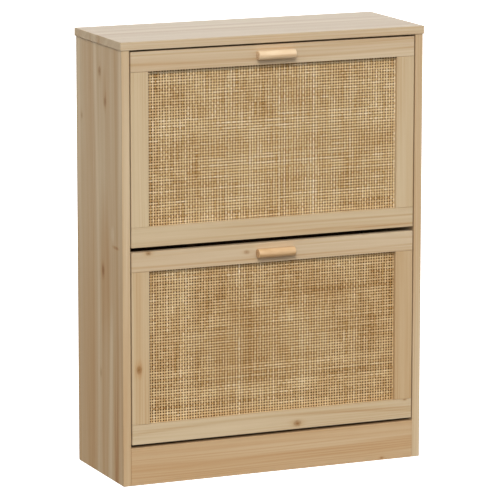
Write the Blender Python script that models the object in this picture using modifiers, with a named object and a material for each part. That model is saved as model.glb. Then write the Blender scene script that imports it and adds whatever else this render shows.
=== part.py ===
"""Narrow shoe cabinet with two tip-out doors, each a pine frame around a woven rattan panel.

The frame of reference is in metres with +Z up. The origin is on the floor, at the centre of the
cabinet's outer box, handles included. The front faces -Y. Each door carries a two-row shoe rack
and turns about +X on two pivot pins: a positive angle tips its top edge out towards the front.
"""

import math

import bmesh
import bpy
from mathutils import Euler, Vector

# Outer size of the cabinet
WIDTH = 0.600
DEPTH = 0.230
HEIGHT = 0.813

# Boards of the carcass
BOARD = 0.015
SIDE_OVERHANG = 0.002
FRONT_OVERHANG = 0.0015
BACK_BOARD = 0.003
PLINTH_HEIGHT = 0.070
BOTTOM_DROP = 0.005
STRETCHER_HEIGHT = 0.060
BASE_RAIL_HEIGHT = 0.045
JOINT_GAP = 0.0003
EDGE = 0.0005

# Doors
DOOR_HEIGHT = 0.355
DOOR_SIDE_GAP = 0.0025
BOTTOM_GAP = 0.006
MIDDLE_GAP = 0.0085
RAIL_HEIGHT = 0.0365
STILE_WIDTH = 0.0345
RABBET_WIDTH = 0.008
RABBET_DEPTH = 0.0075
RATTAN = 0.0021
BACKING = 0.003

# Pivot of each door, behind its front face and above its bottom edge
PIVOT_BACK = 0.026
PIVOT_UP = 0.075
OPEN_ANGLE = math.radians(45)

# Handle: a round bar with a flat back
HANDLE_LENGTH = 0.074
HANDLE_RADIUS = 0.00875
HANDLE_CENTRE = 0.00825
HANDLE_BELOW_EDGE = 0.0178
HANDLE_ROUNDING = 0.0015
HANDLE_SCREW_SPACING = 0.040

# Flip brackets at the two sides of each door
PLATE = 0.006
PLATE_SIDE_GAP = 0.0035
BRACKET_DEPTH = 0.194
FLANGE_WIDTH = 0.020
FLANGE = 0.004
FLANGE_LOW = 0.020
FLANGE_HIGH = 0.335
RIB = 0.003
RIB_WIDTH = 0.008
RIB_INSET = 0.012

# Shoe rack boards, each from its front or low end to its rear or high end, as (behind the door's
# rear face, above the door's bottom edge)
RACK_BOARD = 0.005
RACK = {
    "front_ledge": ((0.008, 0.031), (0.0885, 0.025)),
    "divider": ((0.0935, 0.020), (0.0965, 0.150)),
    "rear_ledge": ((0.1030, 0.068), (0.1805, 0.062)),
    "rear_rest": ((0.1870, 0.058), (0.1870, 0.276)),
}

# Pins that carry and stop the doors, each pressed into a bore in a side panel
HOLE_GAP = 0.0003
PIVOT_PIN_RADIUS = 0.004
PIVOT_FLANGE_RADIUS = 0.0095
STOP_PIN_RADIUS = 0.003
STOP_FLANGE_RADIUS = 0.0075
PIN_FLANGE = 0.002
PIN_SEAT = 0.010
PIN_END = 0.001
STOP_RADIUS = 0.042
STOP_ANGLE = math.radians(50)
STOP_SLACK = math.radians(0.8)

# Screws, and the cam locks and dowels that hold the top panel
SCREW_RADIUS = 0.0018
SCREW_HEAD_RADIUS = 0.0036
SCREW_HEAD = 0.0022
SCREW_BITE = 0.0115
BRACKET_SCREW_HEIGHTS = (0.060, 0.300)
CAM_RADIUS = 0.0075
CAM_DEPTH = 0.0115
CAM_DROP = 0.034
CAM_BOLT_RADIUS = 0.0035
CAM_BOLT_GRIP = 0.010
DOWEL_RADIUS = 0.004
DOWEL_LOW = 0.020
TOP_BITE = 0.010
FIXING_INSET = 0.050

PIN_SEGMENTS = 20
SCREW_SEGMENTS = 12
HANDLE_SEGMENTS = 28
SMOOTH_ANGLE = math.radians(30)

# Places that follow from the sizes above
SIDE_OUTER = WIDTH / 2 - SIDE_OVERHANG
SIDE_INNER = SIDE_OUTER - BOARD
HANDLE_REACH = HANDLE_CENTRE + HANDLE_RADIUS
Y_BACK = (DEPTH - FRONT_OVERHANG + HANDLE_REACH) / 2
Y_TOP_FRONT = Y_BACK - DEPTH
Y_FACE = Y_TOP_FRONT + FRONT_OVERHANG
Y_INSIDE_BACK = Y_BACK - BACK_BOARD - JOINT_GAP
Z_UNDER_TOP = HEIGHT - BOARD
DOOR_HALF_WIDTH = SIDE_INNER - DOOR_SIDE_GAP
LOWER_DOOR = PLINTH_HEIGHT + BOTTOM_GAP
UPPER_DOOR = LOWER_DOOR + DOOR_HEIGHT + MIDDLE_GAP
OPENING_HALF_WIDTH = DOOR_HALF_WIDTH - STILE_WIDTH
PLATE_OUTER = SIDE_INNER - PLATE_SIDE_GAP
PLATE_INNER = PLATE_OUTER - PLATE

# (base colour, roughness, metallic)
MATERIALS = {
    "pine_foil": ((0.60, 0.44, 0.28), 0.55, 0.0),
    "pine_frame": ((0.66, 0.50, 0.32), 0.55, 0.0),
    "turned_wood": ((0.80, 0.60, 0.36), 0.45, 0.0),
    "rattan": ((0.55, 0.39, 0.20), 0.60, 0.0),
    "hardboard": ((0.42, 0.30, 0.19), 0.80, 0.0),
    "black_plastic": ((0.02, 0.02, 0.02), 0.40, 0.0),
    "zinc": ((0.60, 0.60, 0.58), 0.35, 1.0),
}


def clear_scene():
    for obj in list(bpy.data.objects):
        bpy.data.objects.remove(obj)


def new_collection(name):
    collection = bpy.data.collections.new(name)
    bpy.context.scene.collection.children.link(collection)
    return collection


def make_material(name):
    colour, roughness, metallic = MATERIALS[name]
    material = bpy.data.materials.new(name)
    material.use_nodes = True
    shader = material.node_tree.nodes["Principled BSDF"]
    shader.inputs["Base Color"].default_value = (*colour, 1.0)
    shader.inputs["Roughness"].default_value = roughness
    shader.inputs["Metallic"].default_value = metallic
    material.diffuse_color = (*colour, 1.0)
    return material


clear_scene()
cabinet = new_collection("shoe_cabinet")
cutters = new_collection("cutters")
materials = {name: make_material(name) for name in MATERIALS}


def add_object(name, mesh, material, parent=None):
    """A visible part of the cabinet, in the collection named for it."""
    obj = bpy.data.objects.new(name, mesh)
    cabinet.objects.link(obj)
    obj.data.materials.append(materials[material])
    obj.parent = parent
    return obj


def as_cutter(obj, parent=None):
    """Turns an object into a hidden helper for a Boolean."""
    for collection in list(obj.users_collection):
        collection.objects.unlink(obj)
    cutters.objects.link(obj)
    obj.parent = parent
    obj.hide_render = True
    obj.display_type = "WIRE"
    return obj


def box_mesh(name, size):
    mesh = bpy.data.meshes.new(name)
    bm = bmesh.new()
    bmesh.ops.create_cube(bm, size=1.0)
    bmesh.ops.scale(bm, vec=Vector(size), verts=bm.verts)
    bm.to_mesh(mesh)
    bm.free()
    return mesh


def cylinder_mesh(name, radius, length, segments):
    """A cylinder along local Z, centred on its origin."""
    mesh = bpy.data.meshes.new(name)
    bm = bmesh.new()
    bmesh.ops.create_cone(
        bm, cap_ends=True, segments=segments, radius1=radius, radius2=radius, depth=length
    )
    bm.to_mesh(mesh)
    bm.free()
    mesh.shade_smooth()
    mesh.set_sharp_from_angle(angle=SMOOTH_ANGLE)
    return mesh


def bevel(obj, width, segments=1):
    modifier = obj.modifiers.new("rounded_edges", "BEVEL")
    modifier.width = width
    modifier.segments = segments
    modifier.limit_method = "ANGLE"


def boolean(obj, other, operation="DIFFERENCE"):
    modifier = obj.modifiers.new(operation.lower(), "BOOLEAN")
    modifier.operation = operation
    modifier.object = other


def board(name, low, high, material, parent=None):
    """A board with eased edges between two opposite corners, in its parent's frame."""
    low, high = Vector(low), Vector(high)
    obj = add_object(name, box_mesh(name, high - low), material, parent)
    obj.location = (low + high) / 2
    bevel(obj, EDGE)
    return obj


def box_cutter(name, low, high, parent=None):
    low, high = Vector(low), Vector(high)
    obj = bpy.data.objects.new(name, box_mesh(name, high - low))
    obj.location = (low + high) / 2
    return as_cutter(obj, parent)


def round_cutter(name, radius, start, direction, length, segments, parent=None):
    """A drill from start along direction, a unit vector."""
    obj = bpy.data.objects.new(name, cylinder_mesh(name, radius, length, segments))
    obj.location = Vector(start) + Vector(direction) * length / 2
    obj.rotation_euler = Vector(direction).to_track_quat("Z", "Y").to_euler()
    return as_cutter(obj, parent)


def turned(name, profile, segments, material, at, axis, parent=None):
    """A turned part: profile is (radius, height) points from the top of its axis to the bottom."""
    mesh = bpy.data.meshes.new(name)
    edges = [(i, i + 1) for i in range(len(profile) - 1)]
    mesh.from_pydata([(r, 0.0, z) for r, z in profile], edges, [])
    obj = add_object(name, mesh, material, parent)
    obj.location = at
    obj.rotation_euler = Vector(axis).to_track_quat("Z", "Y").to_euler()
    screw = obj.modifiers.new("turned", "SCREW")
    screw.steps = segments
    screw.render_steps = segments
    screw.use_merge_vertices = True
    screw.merge_threshold = 0.00001
    return obj


def headed_profile(head_radius, head, shaft_radius, shaft):
    """A flange or screw head on top, from height 0 up to head, over a plain shaft."""
    ease = head_radius * 0.12
    return [
        (0.0, head),
        (head_radius - ease, head),
        (head_radius, head - ease),
        (head_radius, 0.0),
        (shaft_radius, 0.0),
        (shaft_radius, -shaft + ease),
        (shaft_radius - ease, -shaft),
        (0.0, -shaft),
    ]


def outline_mesh(name, outline, thickness):
    """A flat closed outline in local XY, given a thickness along Z, as a mesh."""
    curve = bpy.data.curves.new(name, "CURVE")
    curve.dimensions = "2D"
    curve.fill_mode = "BOTH"
    curve.extrude = thickness / 2
    spline = curve.splines.new("POLY")
    spline.points.add(len(outline) - 1)
    for point, (x, y) in zip(spline.points, outline):
        point.co = (x, y, 0.0, 1.0)
    spline.use_cyclic_u = True
    guide = bpy.data.objects.new(name, curve)
    cutters.objects.link(guide)
    bpy.context.view_layer.update()
    graph = bpy.context.evaluated_depsgraph_get()
    mesh = bpy.data.meshes.new_from_object(guide.evaluated_get(graph))
    bpy.data.objects.remove(guide)
    bm = bmesh.new()
    bm.from_mesh(mesh)
    bmesh.ops.remove_doubles(bm, verts=bm.verts, dist=0.000001)
    bmesh.ops.recalc_face_normals(bm, faces=bm.faces)
    bm.to_mesh(mesh)
    bm.free()
    return mesh


def arc(centre, radius, start, end, steps):
    """Points of an arc from angle start to angle end, both included."""
    angles = [start + (end - start) * i / steps for i in range(steps + 1)]
    return [(centre[0] + radius * math.cos(a), centre[1] + radius * math.sin(a)) for a in angles]


def rounded(corners, steps=4):
    """A closed outline from (x, y, corner radius) points."""
    outline = []
    for i, (x, y, radius) in enumerate(corners):
        here = Vector((x, y))
        back = (Vector(corners[i - 1][:2]) - here).normalized()
        ahead = (Vector(corners[(i + 1) % len(corners)][:2]) - here).normalized()
        if radius == 0:
            outline.append((x, y))
            continue
        half = back.angle(ahead) / 2
        centre = here + (back + ahead).normalized() * radius / math.sin(half)
        first = here + back * radius / math.tan(half) - centre
        last = here + ahead * radius / math.tan(half) - centre
        start = math.atan2(first.y, first.x)
        turn = (math.atan2(last.y, last.x) - start + math.pi) % (2 * math.pi) - math.pi
        outline += arc(centre, radius, start, start + turn, steps)
    return outline


# --- Carcass ---------------------------------------------------------------------------------


def rod(name, radius, low, high, material):
    """An upright round rod between two heights, as its two end points say."""
    obj = add_object(name, cylinder_mesh(name, radius, high.z - low.z, PIN_SEGMENTS), material)
    obj.location = (low + high) / 2
    bevel(obj, radius * 0.15)
    return obj


def build_cam_lock(side, word, side_panel, top_panel):
    """A cam let into the side panel's inner face, and the bolt it pulls down from the top."""
    at = Vector((side * (SIDE_INNER + BOARD / 2), Y_FACE + FIXING_INSET, Z_UNDER_TOP - CAM_DROP))
    bolt_low = at - Vector((0.0, 0.0, CAM_BOLT_GRIP / 2))
    bolt_high = at + Vector((0.0, 0.0, CAM_DROP + TOP_BITE))
    cam = add_object(
        f"cam_{word}", cylinder_mesh("cam", CAM_RADIUS, CAM_DEPTH, PIN_SEGMENTS), "zinc"
    )
    cam.location = (side * (SIDE_INNER + JOINT_GAP + CAM_DEPTH / 2), at.y, at.z)
    cam.rotation_euler = (0.0, math.pi / 2, 0.0)
    rod(f"cam_bolt_{word}", CAM_BOLT_RADIUS, bolt_low, bolt_high, "zinc")
    cam_bore = round_cutter(
        f"cam_bore_{word}",
        CAM_RADIUS + HOLE_GAP,
        (side * (SIDE_INNER - BOARD), at.y, at.z),
        (side, 0, 0),
        BOARD + JOINT_GAP + CAM_DEPTH + HOLE_GAP,
        PIN_SEGMENTS,
    )
    bolt_bore = round_cutter(
        f"cam_bolt_bore_{word}",
        CAM_BOLT_RADIUS + HOLE_GAP,
        bolt_low - Vector((0.0, 0.0, HOLE_GAP)),
        (0, 0, 1),
        bolt_high.z - bolt_low.z + 2 * HOLE_GAP,
        PIN_SEGMENTS,
    )
    boolean(side_panel, cam_bore)
    for cut in (cam, side_panel, top_panel):
        boolean(cut, bolt_bore)


def build_dowel(side, word, side_panel, top_panel):
    """A wooden dowel that sets the top panel in line with the side panel."""
    low = Vector(
        (side * (SIDE_INNER + BOARD / 2), Y_INSIDE_BACK - FIXING_INSET, Z_UNDER_TOP - DOWEL_LOW)
    )
    high = low + Vector((0.0, 0.0, DOWEL_LOW + TOP_BITE))
    rod(f"top_dowel_{word}", DOWEL_RADIUS, low, high, "turned_wood")
    bore = round_cutter(
        f"dowel_bore_{word}",
        DOWEL_RADIUS + HOLE_GAP,
        low - Vector((0.0, 0.0, HOLE_GAP)),
        (0, 0, 1),
        high.z - low.z + 2 * HOLE_GAP,
        PIN_SEGMENTS,
    )
    boolean(side_panel, bore)
    boolean(top_panel, bore)


def build_carcass():
    """The boards that stand still. It gives back the two side panels, by side."""
    between = SIDE_INNER - JOINT_GAP
    panels = {}
    top = board(
        "top_panel",
        (-WIDTH / 2, Y_TOP_FRONT, Z_UNDER_TOP),
        (WIDTH / 2, Y_BACK, HEIGHT),
        "pine_foil",
    )
    for side, word in ((-1, "left"), (1, "right")):
        x_ends = sorted((side * SIDE_INNER, side * SIDE_OUTER))
        panel = board(
            f"side_panel_{word}",
            (x_ends[0], Y_FACE, 0.0),
            (x_ends[1], Y_INSIDE_BACK, Z_UNDER_TOP - JOINT_GAP),
            "pine_foil",
        )
        build_cam_lock(side, word, panel, top)
        build_dowel(side, word, panel, top)
        panels[side] = panel
    board(
        "plinth_board",
        (-between, Y_FACE, 0.0),
        (between, Y_FACE + BOARD, PLINTH_HEIGHT),
        "pine_foil",
    )
    bottom_top = PLINTH_HEIGHT - BOTTOM_DROP
    board(
        "bottom_panel",
        (-between, Y_FACE + BOARD + JOINT_GAP, bottom_top - BOARD),
        (between, Y_INSIDE_BACK, bottom_top),
        "pine_foil",
    )
    board(
        "base_rail_rear",
        (-between, Y_INSIDE_BACK - BOARD, 0.0),
        (between, Y_INSIDE_BACK, BASE_RAIL_HEIGHT),
        "pine_foil",
    )
    stretcher_middle = UPPER_DOOR - MIDDLE_GAP / 2
    board(
        "middle_stretcher",
        (-between, Y_INSIDE_BACK - BOARD, stretcher_middle - STRETCHER_HEIGHT / 2),
        (between, Y_INSIDE_BACK, stretcher_middle + STRETCHER_HEIGHT / 2),
        "pine_foil",
    )
    back_margin = 0.001
    board(
        "back_panel",
        (-SIDE_OUTER + back_margin, Y_BACK - BACK_BOARD, back_margin),
        (SIDE_OUTER - back_margin, Y_BACK, Z_UNDER_TOP - back_margin),
        "hardboard",
    )
    return panels


def pin_profile(flange_radius, radius, reach):
    """A seat above, from height 0 down a flange, and under it the shaft that the door uses."""
    ease = radius * 0.15
    return [
        (0.0, PIN_SEAT),
        (radius - ease, PIN_SEAT),
        (radius, PIN_SEAT - ease),
        (radius, 0.0),
        (flange_radius, 0.0),
        (flange_radius, -PIN_FLANGE),
        (radius, -PIN_FLANGE),
        (radius, ease - PIN_FLANGE - reach),
        (radius - ease, -PIN_FLANGE - reach),
        (0.0, -PIN_FLANGE - reach),
    ]


def build_pins(prefix, door_bottom, side_panels):
    """The pins that carry and stop one door, and their bores in the side panels."""
    pivot = Vector((0.0, Y_FACE + PIVOT_BACK, door_bottom + PIVOT_UP))
    stop = pivot + STOP_RADIUS * Vector((0.0, math.cos(STOP_ANGLE), math.sin(STOP_ANGLE)))
    reach = PLATE_SIDE_GAP - JOINT_GAP - PIN_FLANGE + PLATE + PIN_END
    kinds = (
        ("pivot_pin", pivot, PIVOT_PIN_RADIUS, PIVOT_FLANGE_RADIUS, "zinc"),
        ("stop_pin", stop, STOP_PIN_RADIUS, STOP_FLANGE_RADIUS, "black_plastic"),
    )
    for side, word in ((-1, "left"), (1, "right")):
        for kind, place, radius, flange_radius, material in kinds:
            name = f"{prefix}_{kind}_{word}"
            seat = Vector((side * (SIDE_INNER - JOINT_GAP), place.y, place.z))
            profile = pin_profile(flange_radius, radius, reach)
            turned(name, profile, PIN_SEGMENTS, material, seat, (side, 0, 0))
            bore = round_cutter(
                f"{name}_bore",
                radius + HOLE_GAP,
                seat - Vector((side * HOLE_GAP, 0.0, 0.0)),
                (side, 0, 0),
                PIN_SEAT + 2 * HOLE_GAP,
                PIN_SEGMENTS,
            )
            boolean(side_panels[side], bore)


# --- Doors: everything below is placed from the pivot, which each door's empty marks ----------


def local(behind, above):
    """(y, z) from the pivot of a point behind the door's rear face and above its bottom edge."""
    return BOARD - PIVOT_BACK + behind, above - PIVOT_UP


def screw(name, x, y, z, shaft, parent):
    """A pan-head screw driven from behind: its head's underside is at y, its shaft points to -Y."""
    profile = headed_profile(SCREW_HEAD_RADIUS, SCREW_HEAD, SCREW_RADIUS, shaft)
    turned(name, profile, SCREW_SEGMENTS, "zinc", (x, y, z), (0, 1, 0), parent)
    return round_cutter(
        f"{name}_hole",
        SCREW_RADIUS + HOLE_GAP,
        (x, y + 0.002, z),
        (0, -1, 0),
        shaft + 0.002 + HOLE_GAP,
        SCREW_SEGMENTS,
        parent,
    )


def build_frame(prefix, axis):
    """Two full-width rails and two stiles between them, rabbeted behind for the rattan."""
    front, rear = -PIVOT_BACK, BOARD - PIVOT_BACK
    bottom, top = -PIVOT_UP, DOOR_HEIGHT - PIVOT_UP
    inner_low, inner_high = bottom + RAIL_HEIGHT, top - RAIL_HEIGHT
    rabbet = box_cutter(
        f"{prefix}_rabbet",
        (-OPENING_HALF_WIDTH - RABBET_WIDTH, front + RABBET_DEPTH, inner_low - RABBET_WIDTH),
        (OPENING_HALF_WIDTH + RABBET_WIDTH, rear + 0.01, inner_high + RABBET_WIDTH),
        axis,
    )
    members = {
        "bottom_rail": ((-DOOR_HALF_WIDTH, bottom), (DOOR_HALF_WIDTH, inner_low)),
        "top_rail": ((-DOOR_HALF_WIDTH, inner_high), (DOOR_HALF_WIDTH, top)),
        "stile_left": (
            (-DOOR_HALF_WIDTH, inner_low + JOINT_GAP),
            (-OPENING_HALF_WIDTH, inner_high - JOINT_GAP),
        ),
        "stile_right": (
            (OPENING_HALF_WIDTH, inner_low + JOINT_GAP),
            (DOOR_HALF_WIDTH, inner_high - JOINT_GAP),
        ),
    }
    made = {}
    for word, ((x0, z0), (x1, z1)) in members.items():
        member = board(
            f"{prefix}_door_{word}", (x0, front, z0), (x1, rear, z1), "pine_frame", axis
        )
        boolean(member, rabbet)
        made[word] = member
    return made


def build_panel(prefix, axis):
    """The rattan sheet in the rabbet, and the board that holds it there from behind."""
    half = OPENING_HALF_WIDTH + RABBET_WIDTH - JOINT_GAP
    low = RAIL_HEIGHT - RABBET_WIDTH + JOINT_GAP - PIVOT_UP
    high = DOOR_HEIGHT - RAIL_HEIGHT + RABBET_WIDTH - JOINT_GAP - PIVOT_UP
    rattan_front = RABBET_DEPTH + JOINT_GAP - PIVOT_BACK
    backing_front = rattan_front + RATTAN + JOINT_GAP
    rattan = add_object(
        f"{prefix}_door_rattan", box_mesh("rattan", (2 * half, RATTAN, high - low)), "rattan", axis
    )
    rattan.location = (0.0, rattan_front + RATTAN / 2, (low + high) / 2)
    board(
        f"{prefix}_door_backing",
        (-half, backing_front, low),
        (half, backing_front + BACKING, high),
        "hardboard",
        axis,
    )


def build_handle(prefix, top_rail, axis):
    """A round bar along X, cut flat where it meets the rail, on two screws from behind."""
    z = DOOR_HEIGHT - HANDLE_BELOW_EDGE - PIVOT_UP
    centre_y = -PIVOT_BACK - HANDLE_CENTRE
    handle = add_object(
        f"{prefix}_handle",
        cylinder_mesh("handle", HANDLE_RADIUS, HANDLE_LENGTH, HANDLE_SEGMENTS),
        "turned_wood",
        axis,
    )
    handle.location = (0.0, centre_y, z)
    handle.rotation_euler = (0.0, math.pi / 2, 0.0)
    bevel(handle, HANDLE_ROUNDING, 2)
    flat = box_cutter(
        f"{prefix}_handle_flat",
        (-HANDLE_LENGTH, -PIVOT_BACK - JOINT_GAP, z - 2 * HANDLE_RADIUS),
        (HANDLE_LENGTH, -PIVOT_BACK + HANDLE_RADIUS, z + 2 * HANDLE_RADIUS),
        axis,
    )
    boolean(handle, flat)
    rear = BOARD - PIVOT_BACK + JOINT_GAP
    for side, word in ((-1, "left"), (1, "right")):
        hole = screw(
            f"{prefix}_handle_screw_{word}",
            side * HANDLE_SCREW_SPACING / 2,
            rear,
            z,
            BOARD + SCREW_BITE,
            axis,
        )
        boolean(top_rail, hole)
        boolean(handle, hole)


def rack_board(name, ends, axis):
    """A rack board along X between the two brackets, tilted as its two ends say."""
    (y0, z0), (y1, z1) = (local(*end) for end in ends)
    length = math.hypot(y1 - y0, z1 - z0)
    half = PLATE_INNER - JOINT_GAP
    obj = add_object(name, box_mesh(name, (2 * half, length, RACK_BOARD)), "pine_foil", axis)
    obj.location = (0.0, (y0 + y1) / 2, (z0 + z1) / 2)
    obj.rotation_euler = Euler((math.atan2(z1 - z0, y1 - y0), 0.0, 0.0))
    bevel(obj, EDGE)


def bracket_ribs(prefix, side, axis):
    """Pairs of ribs on the plate's inner face, one pair for each rack board's end."""
    ribs = []
    offset = RACK_BOARD / 2 + HOLE_GAP + RIB / 2
    x_middle = side * (PLATE_INNER - RIB_WIDTH / 2 + 0.001)
    for word, ends in RACK.items():
        (y0, z0), (y1, z1) = (local(*end) for end in ends)
        angle = math.atan2(z1 - z0, y1 - y0)
        length = math.hypot(y1 - y0, z1 - z0) - 2 * RIB_INSET
        for above in (-1, 1):
            name = f"{prefix}_rib_{word}_{above}_{side}"
            rib = bpy.data.objects.new(name, box_mesh(name, (RIB_WIDTH + 0.002, length, RIB)))
            rib.location = (
                x_middle,
                (y0 + y1) / 2 - above * offset * math.sin(angle),
                (z0 + z1) / 2 + above * offset * math.cos(angle),
            )
            rib.rotation_euler = Euler((angle, 0.0, 0.0))
            ribs.append(as_cutter(rib, axis))
    return ribs


def bracket_outline():
    """The plate seen from the side, as (behind the door, above its bottom edge) corners."""
    front = JOINT_GAP
    return rounded(
        [
            (front, 0.010, 0.0),
            (0.088, 0.010, 0.020),
            (BRACKET_DEPTH, 0.050, 0.014),
            (BRACKET_DEPTH, 0.284, 0.014),
            (0.150, 0.284, 0.030),
            (0.070, 0.330, 0.040),
            (0.030, 0.340, 0.008),
            (front, 0.340, 0.0),
        ]
    )


def stop_slot_outline():
    """The arc slot that the stop pin runs in, about the pivot."""
    half = STOP_PIN_RADIUS + HOLE_GAP
    high = STOP_ANGLE + STOP_SLACK
    low = STOP_ANGLE - OPEN_ANGLE - STOP_SLACK
    high_end = (STOP_RADIUS * math.cos(high), STOP_RADIUS * math.sin(high))
    low_end = (STOP_RADIUS * math.cos(low), STOP_RADIUS * math.sin(low))
    outline = arc((0, 0), STOP_RADIUS + half, low, high, 10)
    outline += arc(high_end, half, high, high + math.pi, 6)[1:-1]
    outline += arc((0, 0), STOP_RADIUS - half, high, low, 10)
    outline += arc(low_end, half, low + math.pi, low + 2 * math.pi, 6)[1:-1]
    return outline


def side_plate(name, outline, x_centre, thickness):
    """An object whose local XY outline stands in the YZ plane, its thickness along X."""
    obj = bpy.data.objects.new(name, outline_mesh(name, outline, thickness))
    obj.rotation_euler = Euler((math.pi / 2, 0.0, math.pi / 2))
    obj.location = (x_centre, 0.0, 0.0)
    return obj


def build_bracket(prefix, side, word, stile, axis):
    outline = [local(*point) for point in bracket_outline()]
    x_plate = side * (PLATE_INNER + PLATE_OUTER) / 2
    plate = side_plate(f"{prefix}_bracket_{word}", outline, x_plate, PLATE)
    cabinet.objects.link(plate)
    plate.parent = axis
    plate.data.materials.append(materials["black_plastic"])

    y0, z0 = local(JOINT_GAP, FLANGE_LOW)
    y1, z1 = local(JOINT_GAP + FLANGE, FLANGE_HIGH)
    x_ends = sorted((side * (PLATE_INNER - FLANGE_WIDTH), side * (PLATE_INNER + PLATE / 2)))
    flange = box_cutter(f"{prefix}_flange_{word}", (x_ends[0], y0, z0), (x_ends[1], y1, z1), axis)
    boolean(plate, flange, "UNION")
    for rib in bracket_ribs(prefix, side, axis):
        boolean(plate, rib, "UNION")

    slot = side_plate(f"{prefix}_slot_{word}", stop_slot_outline(), x_plate, 4 * PLATE)
    boolean(plate, as_cutter(slot, axis))
    pivot_hole = round_cutter(
        f"{prefix}_pivot_hole_{word}",
        PIVOT_PIN_RADIUS + HOLE_GAP,
        (x_plate - 2 * PLATE, 0.0, 0.0),
        (1, 0, 0),
        4 * PLATE,
        PIN_SEGMENTS,
        axis,
    )
    boolean(plate, pivot_hole)

    x_screw = side * (PLATE_INNER - FLANGE_WIDTH / 2)
    for height, place in zip(BRACKET_SCREW_HEIGHTS, ("low", "high")):
        head_y, z = local(JOINT_GAP + FLANGE + JOINT_GAP, height)
        hole = screw(
            f"{prefix}_bracket_screw_{word}_{place}",
            x_screw,
            head_y,
            z,
            FLANGE + SCREW_BITE,
            axis,
        )
        boolean(plate, hole)
        boolean(stile, hole)


def build_door(prefix, door_bottom):
    axis = bpy.data.objects.new(f"{prefix}_flip_axis", None)
    cabinet.objects.link(axis)
    axis.location = (0.0, Y_FACE + PIVOT_BACK, door_bottom + PIVOT_UP)
    members = build_frame(prefix, axis)
    build_panel(prefix, axis)
    build_handle(prefix, members["top_rail"], axis)
    for side, word in ((-1, "left"), (1, "right")):
        build_bracket(prefix, side, word, members[f"stile_{word}"], axis)
    for word, ends in RACK.items():
        rack_board(f"{prefix}_rack_{word}", ends, axis)


side_panels_by_side = build_carcass()
for door_name, door_bottom_z in (("lower", LOWER_DOOR), ("upper", UPPER_DOOR)):
    build_pins(door_name, door_bottom_z, side_panels_by_side)
    build_door(door_name, door_bottom_z)
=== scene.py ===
"""The looks of a shoe cabinet: pine boards, doors of woven rattan, turned handles and hardware.

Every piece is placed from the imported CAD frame, in metres, with +Z up and the front facing -Y. The
CAD boards stay and get softer edges and their own grain. The rattan, the handles, the screws, the
cam discs and the nails are new pieces.
"""
import math

import bmesh
import bpy
import numpy as np
from mathutils import Matrix, Vector


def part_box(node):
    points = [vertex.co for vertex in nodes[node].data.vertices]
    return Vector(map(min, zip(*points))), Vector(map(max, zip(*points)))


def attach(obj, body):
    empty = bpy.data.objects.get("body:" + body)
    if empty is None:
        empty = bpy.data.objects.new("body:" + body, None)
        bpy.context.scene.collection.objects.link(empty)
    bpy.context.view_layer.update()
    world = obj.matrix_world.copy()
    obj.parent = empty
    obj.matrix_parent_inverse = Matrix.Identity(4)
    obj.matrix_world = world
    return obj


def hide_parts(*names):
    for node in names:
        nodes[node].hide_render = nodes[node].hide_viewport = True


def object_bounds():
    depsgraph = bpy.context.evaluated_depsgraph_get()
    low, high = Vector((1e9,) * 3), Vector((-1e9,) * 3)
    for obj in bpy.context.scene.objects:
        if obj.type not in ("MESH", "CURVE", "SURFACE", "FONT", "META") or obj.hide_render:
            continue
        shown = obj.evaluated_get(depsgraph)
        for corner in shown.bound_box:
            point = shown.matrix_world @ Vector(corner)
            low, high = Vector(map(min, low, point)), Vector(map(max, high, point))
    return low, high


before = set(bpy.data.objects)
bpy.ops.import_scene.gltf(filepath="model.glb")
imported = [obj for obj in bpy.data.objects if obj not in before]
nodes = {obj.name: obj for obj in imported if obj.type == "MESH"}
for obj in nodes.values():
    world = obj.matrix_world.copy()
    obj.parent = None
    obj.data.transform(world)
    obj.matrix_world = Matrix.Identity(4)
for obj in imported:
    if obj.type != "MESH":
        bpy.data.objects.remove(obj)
cad_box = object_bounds()

DOORS = ("lower", "upper")
SIDES = ("left", "right")
NO_TINT = (1.0, 1.0, 1.0)

# Corners closer than SAME_POINT are one corner, and an edge that turns by more than SHARP_ANGLE
# is not shaded smooth.
SAME_POINT = 0.00001
SHARP_ANGLE = math.radians(35)

# Camera and light. BACKDROP, CEILING and BELOW are the studio's brightness round the cabinet,
# above it and below it.
CAMERA_AT = Vector((-2.7603, -6.32905, 1.7070))
CAMERA_LOOK = Vector((0.39248, 0.90068, -0.18634))
CAMERA_ROLL = math.radians(0.045)
CAMERA_LENS = 273.25
KEY_AZIMUTH = math.radians(25)
KEY_ELEVATION = math.radians(36)
KEY_STRENGTH = 2.32
KEY_SOFTNESS = math.radians(22)
BACKDROP = 1.6
CEILING = 0.38
BELOW = 0.10
FLOOR_GLOW = 0.90
FLOOR_HALF = 30.0
FLOOR_GAP = 0.0002

# Rattan weave. A tone runs from 0, brown, to 1, pale. Where a strand passes over another one its tone
# is raised, as painted light, and where it dips under it is lowered, as painted shade; a sheet's look
# is its tone and how much its strands differ. The strands keep SHEET_INSET away from the edge of the
# CAD's plain sheet.
WEAVE_SEED = 7
STRAND_PITCH_X = 0.00527
STRAND_PITCH_Z = 0.00515
UPRIGHT_WIDTH = 0.0028
LEVEL_WIDTH = 0.0025
STRAND_THICKNESS = 0.0006
WEAVE_DEPTH = 0.0005
SAMPLES_PER_CROSSING = 3
SAMPLES_PER_CANE = 15
SAMPLES_PER_BEND = 24
STRAND_WANDER = 0.00016
WIDTH_SPREAD = 0.06
SHEET_INSET = 0.004
# The lower sheet's tone is below the upper's: painted shade that makes the weave darker towards the
# bottom of the cabinet.
SHEET_LOOKS = {"upper": (0.47, 0.96), "lower": (0.40, 0.74)}
# painted light on a strand where it lies on top of a crossing, painted shade where it dips under
CROSSING_PAINTED_SHADE = 0.11

# Softened edges of the CAD pieces
BOARD_ROUNDING = 0.00018
METAL_ROUNDING = 0.0001
PLASTIC_ROUNDING = 0.0002
ROUNDING_SEGMENTS = 3
ROUNDED_ANGLE = math.radians(25)

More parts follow.
